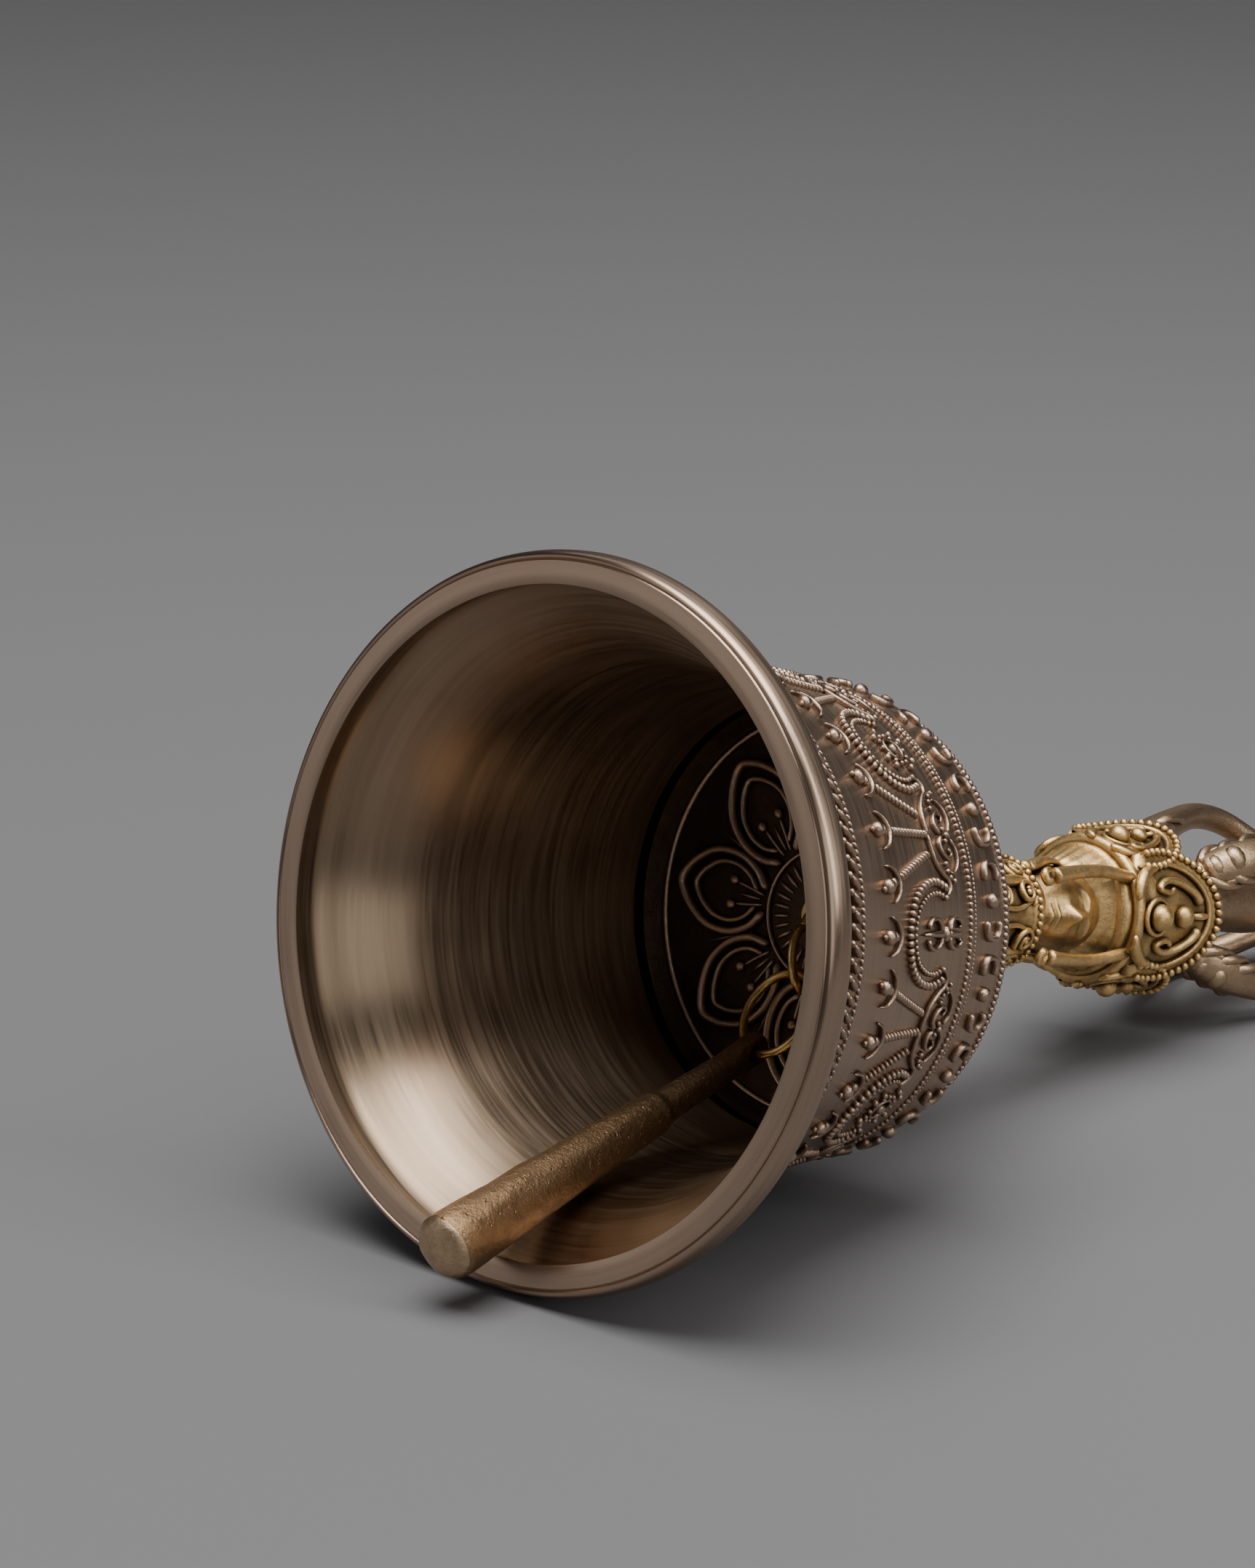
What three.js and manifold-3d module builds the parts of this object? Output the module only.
// Tibetan hand bell (drilbu): a cast bronze bell with a brass half-vajra handle and a
// free-hanging striker.  Millimetres.  The bell is modelled about its own axis: z runs
// from the mouth face (z = 0) to the tip of the handle, +x is up and +y is towards the
// side that the handle's face looks to.  The last group lays it on its side, resting on
// the lip and on the two lower prongs, with z = 0 as the surface under it.
import * as THREE from 'three';
import { mergeVertices } from 'three/addons/utils/BufferGeometryUtils.js';
import Module from 'manifold-3d';

const wasm = await Module();
wasm.setup();

// ---------------------------------------------------------------- driving dimensions
const GAP = 0.3;                 // clearance between two pieces that touch

const mouthRadius = 44.7;        // sharp inner edge of the mouth
const faceRadius = 48.6;         // outer edge of the flat mouth face
const lipRadius = 49.3;          // largest radius of the bell
const lipLand = [2.4, 3.4];      // heights between which the lip keeps that radius
const waistHeight = 20;          // where the flare ends
const waistRadius = 38.1;
const flareRadius = 47.4;        // outer radius behind the lip, 5 mm up
const wallThickness = 1.85;
const shoulderHeight = 61;       // rope ridge round the shoulder
const shoulderRadius = 30.6;
const crownHeight = 58.6;        // inner face of the crown
const crownRadius = 28.9;
const domeHeight = 66;           // outer top of the crown
const boltHoleRadius = 1.9;

const footHeights = [domeHeight + GAP, 73];
const vaseHeights = [73 + GAP, 100.4];
const vaseNeckRadius = 7.7;
const vaseBellyRadius = 11.6;
const nutHeight = 2.6;
const headHeights = [100.7, 119.6];
const headRadii = { up: 8.0, front: 8.6 };
const diademHeights = [117.4, 139.4];
const leafCount = 5;
const hubHeights = [119.9, 142.6];
const pinHeights = [91, 146];
const pinRadius = 1.5;
const faceTurn = THREE.MathUtils.degToRad(5);    // the face looks a little upwards

const prongCount = 4;
const prongPath = [[140.8, 8.4], [147, 11.8], [155, 14.8], [162.5, 16.2], [169, 14.8],
  [175.5, 10.2], [181, 6.8], [186, 4.8]];        // height, distance from the axis
const prongThickness = 4.6;
const prongWidth = 5.2;
const centreProngHeights = [142.9, 190];

const eyeCentre = { height: 54.9, drop: 6.0 };   // oval eye of the eye bolt
const eyeHalf = { height: 2.6, drop: 4.4 };
const eyeWire = 0.65;
const boltRadius = 1.5;
const boltTop = 78.5;

const ringRadius = 6.3;
const ringWire = 0.63;
const ringTop = new THREE.Vector3(-8.4, 0, 55.1);            // where it hangs in the eye
const ringDown = new THREE.Vector3(-0.80, -0.447, -0.385).normalize();
const ringAcross = new THREE.Vector3(-0.258, 0.933, -0.246)
  .projectOnPlane(ringDown).normalize();

const strikerMouthPoint = new THREE.Vector3(-38.4, -7.6, 0); // its axis at the mouth face
const strikerTipRadius = 4.75;
const strikerStepRadius = 3.05;
const strikerEyeRadius = 2.35;
const strikerNeckRadius = 2.1;
const strikerTipReach = 66;      // from the hole to the blunt tip
const strikerStepReach = 20.3;   // from the hole to the step
const strikerTail = 2.6;         // past the hole
const strikerHoleRadius = 1.25;
const strikerHoleDrop = 0.22;    // from the ring's wire to the middle of the hole
const strikerEyeThickness = 2.4; // hammered flat round the hole

// How far the hanging parts are turned round the bell's axis, so that the striker lies
// straight below it.
const hangingTurn = THREE.MathUtils.degToRad(-11);

// ---------------------------------------------------------------- materials
function metal(color, roughness) {
  return new THREE.MeshStandardMaterial({ color, roughness, metalness: 1 });
}
const bellBronze = metal(0x7b6553, 0.42);
const handleBrass = metal(0x8a6a3c, 0.4);
const prongBronze = metal(0x8f7462, 0.42);
const wireBrass = metal(0xb48a45, 0.3);
const strikerBronze = metal(0x6b4e30, 0.6);
const steel = metal(0x8c8c88, 0.4);

// ---------------------------------------------------------------- solids
function toSolid(geometry) {
  const bare = geometry.clone();
  bare.deleteAttribute('normal');
  bare.deleteAttribute('uv');
  const merged = mergeVertices(bare, 1e-4);
  return new wasm.Manifold(new wasm.Mesh({
    numProp: 3,
    vertProperties: new Float32Array(merged.attributes.position.array),
    triVerts: new Uint32Array(merged.index.array),
  }));
}

function toGeometry(solid) {
  const mesh = solid.getMesh();
  const geometry = new THREE.BufferGeometry();
  geometry.setAttribute('position', new THREE.BufferAttribute(new Float32Array(mesh.vertProperties), 3));
  geometry.setIndex(new THREE.BufferAttribute(new Uint32Array(mesh.triVerts), 1));
  geometry.computeVertexNormals();
  return geometry;
}

function piece(name, geometry, material) {
  const mesh = new THREE.Mesh(geometry, material);
  mesh.name = name;
  return mesh;
}

// A turned shape: the profile is a list of [radius, height] and z is the axis.
function turned(profile, segments) {
  const points = profile.map(([radius, height]) => new THREE.Vector2(radius, height));
  return new THREE.LatheGeometry(points, segments).rotateX(Math.PI / 2);
}

// A closed shape through a row of rings, each with the same number of points.
function lofted(rings) {
  const count = rings[0].length;
  const position = rings.flat().flatMap((point) => [point.x, point.y, point.z]);
  const index = [];
  for (let row = 0; row + 1 < rings.length; row += 1) {
    for (let i = 0; i < count; i += 1) {
      const a = row * count + i;
      const b = row * count + ((i + 1) % count);
      index.push(a, b + count, b, a, a + count, b + count);
    }
  }
  const last = (rings.length - 1) * count;
  for (let i = 1; i + 1 < count; i += 1) {
    index.push(0, i, i + 1, last, last + i + 1, last + i);
  }
  const geometry = new THREE.BufferGeometry();
  geometry.setAttribute('position', new THREE.Float32BufferAttribute(position, 3));
  geometry.setIndex(index);
  geometry.computeVertexNormals();
  return geometry;
}

function cylinder(radius, from, to, segments = 24) {
  return turned([[0, from], [radius, from], [radius, to], [0, to]], segments);
}

// ---------------------------------------------------------------- the bell
function outerRadius(height) {
  if (height <= waistHeight) {
    const flare = (waistHeight - height) / (waistHeight - 5);
    return waistRadius + (flareRadius - waistRadius) * flare ** 1.6;
  }
  const rise = (height - waistHeight) / (57.5 - waistHeight);
  return waistRadius - 6.6 * rise ** 0.8 + 1.0 * rise ** 4;
}

function bellProfile() {
  const profile = [[mouthRadius, 0], [faceRadius, 0], [49.0, 0.5]];
  profile.push([lipRadius, lipLand[0]], [lipRadius, lipLand[1]], [48.7, 4.2]);
  for (const height of [5.4, 7.2, 9.4, 12.4, 16, 20, 27, 34, 42, 49, 54, 57.5]) {
    profile.push([outerRadius(height), height]);
  }
  profile.push([31.3, 59.2], [31.6, 60.2], [shoulderRadius, shoulderHeight + 0.5]);
  for (const radius of [27, 21, 14]) {
    profile.push([radius, domeHeight - 3.6 * (radius / 29) ** 2]);
  }
  profile.push([9.5, domeHeight], [boltHoleRadius, domeHeight]);
  profile.push([boltHoleRadius, crownHeight], [crownRadius, crownHeight], [29.7, 57.6]);
  for (const height of [54, 49, 42, 34, 27, 20, 16, 12.4, 9.4, 7.2, 5.4]) {
    profile.push([outerRadius(height) - wallThickness, height]);
  }
  profile.push([45.9, 4], [45.8, 2.4], [45.3, 1], [mouthRadius, 0]);
  return profile;
}

function bellBody() {
  return piece('bell_body', turned(bellProfile(), 60), bellBronze);
}

// ---------------------------------------------------------------- handle castings
function handleFoot() {
  const [low, high] = footHeights;
  const profile = [[boltHoleRadius, low], [9.2, low], [13.6, low + 0.3], [14.2, low + 1.3],
    [12.8, low + 2.6], [9.6, low + 3.4], [10.4, low + 4.6], [9.4, high], [boltHoleRadius, high],
    [boltHoleRadius, low]];
  return piece('handle_foot', turned(profile, 36), handleBrass);
}

function handleVase() {
  const [low, high] = vaseHeights;
  const cavity = 5.2;
  const profile = [[cavity, low], [8.2, low], [9.0, low + 1.6], [10.8, low + 5],
    [vaseBellyRadius, low + 8.5], [10.4, low + 12], [8.4, low + 15], [vaseNeckRadius, low + 18],
    [vaseNeckRadius, high - 2.4], [8.2, high - 1.4], [7.6, high], [boltHoleRadius, high],
    [boltHoleRadius, low + 15.2], [cavity, low + 12], [cavity, low]];
  return piece('handle_vase', turned(profile, 36), handleBrass);
}

function boltNut() {
  const low = footHeights[1] + GAP;
  const hexagon = new THREE.Shape();
  for (let corner = 0; corner < 6; corner += 1) {
    const angle = (corner * Math.PI) / 3;
    const point = [3.4 * Math.cos(angle), 3.4 * Math.sin(angle)];
    if (corner === 0) hexagon.moveTo(...point);
    else hexagon.lineTo(...point);
  }
  hexagon.closePath();
  hexagon.holes.push(new THREE.Path().absarc(0, 0, boltHoleRadius, 0, 2 * Math.PI, true));
  const geometry = new THREE.ExtrudeGeometry(hexagon,
    { depth: nutHeight, bevelEnabled: false, curveSegments: 12 });
  geometry.translate(0, 0, low);
  return piece('bolt_nut', geometry, steel);
}

function handleHead() {
  const [low, high] = headHeights;
  const middle = (low + high) / 2 + 0.6;
  const skull = new THREE.SphereGeometry(1, 24, 14).rotateX(Math.PI / 2);
  skull.scale(headRadii.up, headRadii.front, high - middle).translate(0, 0, middle);
  const neck = cylinder(6.4, low, low + 5, 32);
  const bore = cylinder(boltHoleRadius, low - 1, high + 1);
  const solid = toSolid(skull).add(toSolid(neck)).subtract(toSolid(bore));
  return piece('handle_head', toGeometry(solid), handleBrass);
}

function leafShape(width, height) {
  const leaf = new THREE.Shape();
  leaf.moveTo(-0.32 * width, 0);
  leaf.bezierCurveTo(-0.62 * width, 0.3 * height, -0.5 * width, 0.78 * height, 0, height);
  leaf.bezierCurveTo(0.5 * width, 0.78 * height, 0.62 * width, 0.3 * height, 0.32 * width, 0);
  leaf.closePath();
  return leaf;
}

// Five leaves on a band, with a floor that sits between the head and the hub.  The front
// leaf is the largest.
function diadem() {
  const [low, high] = diademHeights;
  const inner = 9.6;
  let solid = toSolid(turned([[inner, low + 2.6], [11.4, low + 2.6], [11.9, low + 5],
    [12.0, low + 9], [inner, low + 9], [inner, low + 2.6]], 48));
  for (let leaf = 0; leaf < leafCount; leaf += 1) {
    const isFront = leaf === 0;
    const angle = Math.PI / 2 + (leaf * 2 * Math.PI) / leafCount;
    const width = isFront ? 19 : 14.5;
    const height = isFront ? high - low : high - low - 3;
    const shape = new THREE.ExtrudeGeometry(leafShape(width, height),
      { depth: 2, bevelEnabled: false, curveSegments: 8 });
    shape.rotateX(Math.PI / 2).rotateZ(Math.PI / 2).translate(inner + 0.3, 0, low).rotateZ(angle);
    solid = solid.add(toSolid(shape));
  }
  const hollow = cylinder(inner - 0.02, low - 1, high + 1, 48);
  const floor = turned([[5.1, low + 0.8], [10.4, low + 0.8], [10.4, low + 3], [9, low + 3],
    [7, low + 2.1], [5.1, low + 2.1], [5.1, low + 0.8]], 48);
  solid = solid.subtract(toSolid(hollow)).add(toSolid(floor));
  return piece('diadem', toGeometry(solid), handleBrass);
}

function vajraHub() {
  const [low, high] = hubHeights;
  const bore = boltHoleRadius;
  const profile = [[bore, low], [5.6, low], [6.6, low + 2.5], [6.0, low + 5], [4.9, low + 7],
    [7.4, low + 10], [8.2, low + 12.4], [6.0, low + 14.6], [5.4, low + 16], [7.9, low + 19],
    [6.9, low + 20.5], [6.1, low + 21.5], [5.9, high], [bore, high], [bore, low]];
  return piece('vajra_hub', turned(profile, 32), handleBrass);
}

function corePin() {
  const [low, high] = pinHeights;
  return piece('core_pin', cylinder(pinRadius, low, high, 20), steel);
}

// ---------------------------------------------------------------- half vajra
function prongRing(path, t) {
  const centre = path.getPoint(t);
  const along = path.getTangent(t);
  const outward = new THREE.Vector2(-along.y, along.x);
  const taper = 1 - 0.45 * t ** 2;
  const ring = [];
  const sides = 10;
  for (let i = 0; i < sides; i += 1) {
    const angle = (i * 2 * Math.PI) / sides;
    const bulge = 1 / Math.max(Math.abs(Math.cos(angle)), Math.abs(Math.sin(angle))) ** 0.35;
    const side = 0.5 * prongWidth * taper * bulge * Math.cos(angle) * 0.92;
    const out = 0.5 * prongThickness * taper * bulge * Math.sin(angle) * 0.92;
    ring.push(new THREE.Vector3(centre.y + outward.y * out, side, centre.x + outward.x * out));
  }
  return ring;
}

function prongGeometry() {
  const path = new THREE.SplineCurve(prongPath.map(([height, reach]) => new THREE.Vector2(height, reach)));
  const rings = [];
  const steps = 20;
  for (let i = 0; i <= steps; i += 1) rings.push(prongRing(path, i / steps));
  return lofted(rings);
}

function outerProng(index) {
  const angle = Math.PI / 4 + (index * 2 * Math.PI) / prongCount;
  return piece(`outer_prong_${index + 1}`, prongGeometry().rotateZ(angle), prongBronze);
}

function centreProng() {
  const [low, high] = centreProngHeights;
  const pocket = boltHoleRadius;
  const profile = [[0, low + 4], [pocket, low + 4], [pocket, low], [5.2, low], [5.4, low + 2.4],
    [3.6, low + 6], [4.3, low + 13], [4.7, low + 20], [3.8, low + 29], [2.4, low + 37],
    [2.0, low + 43], [1.1, high - 1], [0, high]];
  return piece('centre_prong', turned(profile, 24), prongBronze);
}

// ---------------------------------------------------------------- hanging parts
function crownWasher() {
  const high = crownHeight - GAP;
  const low = high - 0.45;
  const profile = [[boltHoleRadius, low], [2.8, low], [3.0, low + 0.15], [3.0, high],
    [boltHoleRadius, high], [boltHoleRadius, low]];
  return piece('crown_washer', turned(profile, 24), wireBrass);
}

function ovalEye() {
  const rows = 32;
  const sides = 8;
  const position = [];
  const index = [];
  for (let row = 0; row < rows; row += 1) {
    const turn = (row * 2 * Math.PI) / rows;
    const down = new THREE.Vector3(-eyeHalf.drop * Math.cos(turn), 0, eyeHalf.height * Math.sin(turn));
    const normal = new THREE.Vector3(-eyeHalf.height * Math.cos(turn), 0,
      eyeHalf.drop * Math.sin(turn)).normalize();
    for (let i = 0; i < sides; i += 1) {
      const angle = (i * 2 * Math.PI) / sides;
      position.push(-eyeCentre.drop + down.x + eyeWire * Math.cos(angle) * normal.x,
        eyeWire * Math.sin(angle),
        eyeCentre.height + down.z + eyeWire * Math.cos(angle) * normal.z);
      const a = row * sides + i;
      const b = row * sides + ((i + 1) % sides);
      const c = ((row + 1) % rows) * sides + i;
      const d = ((row + 1) % rows) * sides + ((i + 1) % sides);
      index.push(a, d, b, a, c, d);
    }
  }
  const geometry = new THREE.BufferGeometry();
  geometry.setAttribute('position', new THREE.Float32BufferAttribute(position, 3));
  geometry.setIndex(index);
  return geometry;
}

// One bolt holds the handle on and carries the striker: its shank runs up through the
// crown and the foot to the nut, and its lower end is drawn out into a drooping eye.
function eyeBolt() {
  const shank = toSolid(cylinder(boltRadius, 56.0, boltTop, 20));
  const bend = new THREE.CatmullRomCurve3([new THREE.Vector3(0, 0, 56.7), new THREE.Vector3(-0.7, 0, 56.0),
    new THREE.Vector3(-eyeCentre.drop + eyeHalf.drop + 0.1, 0, eyeCentre.height + 0.2)]);
  const section = new THREE.Shape().absarc(0, 0, 0.9, 0, 2 * Math.PI, false);
  const elbow = new THREE.ExtrudeGeometry(section, { steps: 6, curveSegments: 6, extrudePath: bend });
  const solid = shank.add(toSolid(elbow)).add(toSolid(ovalEye()));
  return piece('eye_bolt', toGeometry(solid), wireBrass);
}

function wireRing() {
  const centre = ringTop.clone().addScaledVector(ringDown, ringRadius);
  const normal = new THREE.Vector3().crossVectors(ringDown, ringAcross).normalize();
  const across = new THREE.Vector3().crossVectors(normal, ringDown);
  const geometry = new THREE.TorusGeometry(ringRadius, ringWire, 8, 40);
  geometry.applyMatrix4(new THREE.Matrix4().makeBasis(ringDown, across, normal));
  geometry.translate(centre.x, centre.y, centre.z);
  return piece('wire_ring', geometry, wireBrass);
}

// The striker hangs from the ring by a hole drilled through its hammered thin end.
function striker() {
  const hole = ringTop.clone().addScaledVector(ringDown, 2 * ringRadius + strikerHoleDrop);
  const toMouth = strikerMouthPoint.clone().sub(hole).normalize();
  const across = ringAcross.clone().addScaledVector(toMouth, -ringAcross.dot(toMouth)).normalize();
  const side = new THREE.Vector3().crossVectors(across, toMouth);
  const profile = [[0, -strikerTail], [1.5, -strikerTail], [strikerEyeRadius, -strikerTail + 1.1],
    [strikerEyeRadius, 1.6], [strikerNeckRadius, 5], [2.5, strikerStepReach],
    [strikerStepRadius, strikerStepReach + 1.2], [strikerTipRadius, strikerTipReach - 3.2],
    [strikerTipRadius, strikerTipReach - 2], [3.2, strikerTipReach], [0, strikerTipReach]];
  let solid = toSolid(turned(profile, 24));
  for (const face of [-1, 1]) {
    const waste = new THREE.BoxGeometry(12, 4, 9);
    waste.translate(0, face * (strikerEyeThickness / 2 + 2), -1.2);
    solid = solid.subtract(toSolid(waste));
  }
  const placed = toGeometry(solid).applyMatrix4(new THREE.Matrix4().makeBasis(side, across, toMouth));
  placed.translate(hole.x, hole.y, hole.z);
  const drill = cylinder(strikerHoleRadius, -6, 6, 20);
  drill.applyQuaternion(new THREE.Quaternion().setFromUnitVectors(new THREE.Vector3(0, 0, 1), ringAcross));
  drill.translate(hole.x, hole.y, hole.z);
  return piece('striker', toGeometry(toSolid(placed).subtract(toSolid(drill))), strikerBronze);
}

// ---------------------------------------------------------------- assembly
// Angle at which the bell leans on its lip and its two lower prongs.
function restAngle() {
  const position = prongGeometry().rotateZ((3 * Math.PI) / 4).attributes.position;
  let angle = Math.PI / 2;
  for (let i = 0; i < position.count; i += 1) {
    angle = Math.min(angle, Math.atan2(lipRadius + position.getX(i), position.getZ(i) - lipLand[1]));
  }
  return angle;
}

const bell = new THREE.Group();
bell.add(bellBody(), crownWasher(), boltNut(), handleFoot(), handleVase(), corePin());
const turnedHead = new THREE.Group();
turnedHead.rotation.z = -faceTurn;
turnedHead.add(handleHead(), diadem());
bell.add(turnedHead, vajraHub());
for (let index = 0; index < prongCount; index += 1) bell.add(outerProng(index));
bell.add(centreProng());
const hanging = new THREE.Group();
hanging.rotation.z = hangingTurn;
hanging.add(eyeBolt(), wireRing(), striker());
bell.add(hanging);

// Lay it down: the axis points along +x and slopes down, its own +x is up.
const slope = restAngle();
const up = new THREE.Vector3(Math.sin(slope), 0, Math.cos(slope));
const axis = new THREE.Vector3(Math.cos(slope), 0, -Math.sin(slope));
const near = new THREE.Vector3(0, -1, 0);
bell.quaternion.setFromRotationMatrix(new THREE.Matrix4().makeBasis(up, near, axis));

// The origin is on the surface, under the middle of the whole object.
const group = new THREE.Group();
group.add(bell);
const extent = new THREE.Box3().setFromObject(group, true);
const middle = extent.getCenter(new THREE.Vector3());
bell.position.set(-middle.x, -middle.y, -extent.min.z);
export default group;
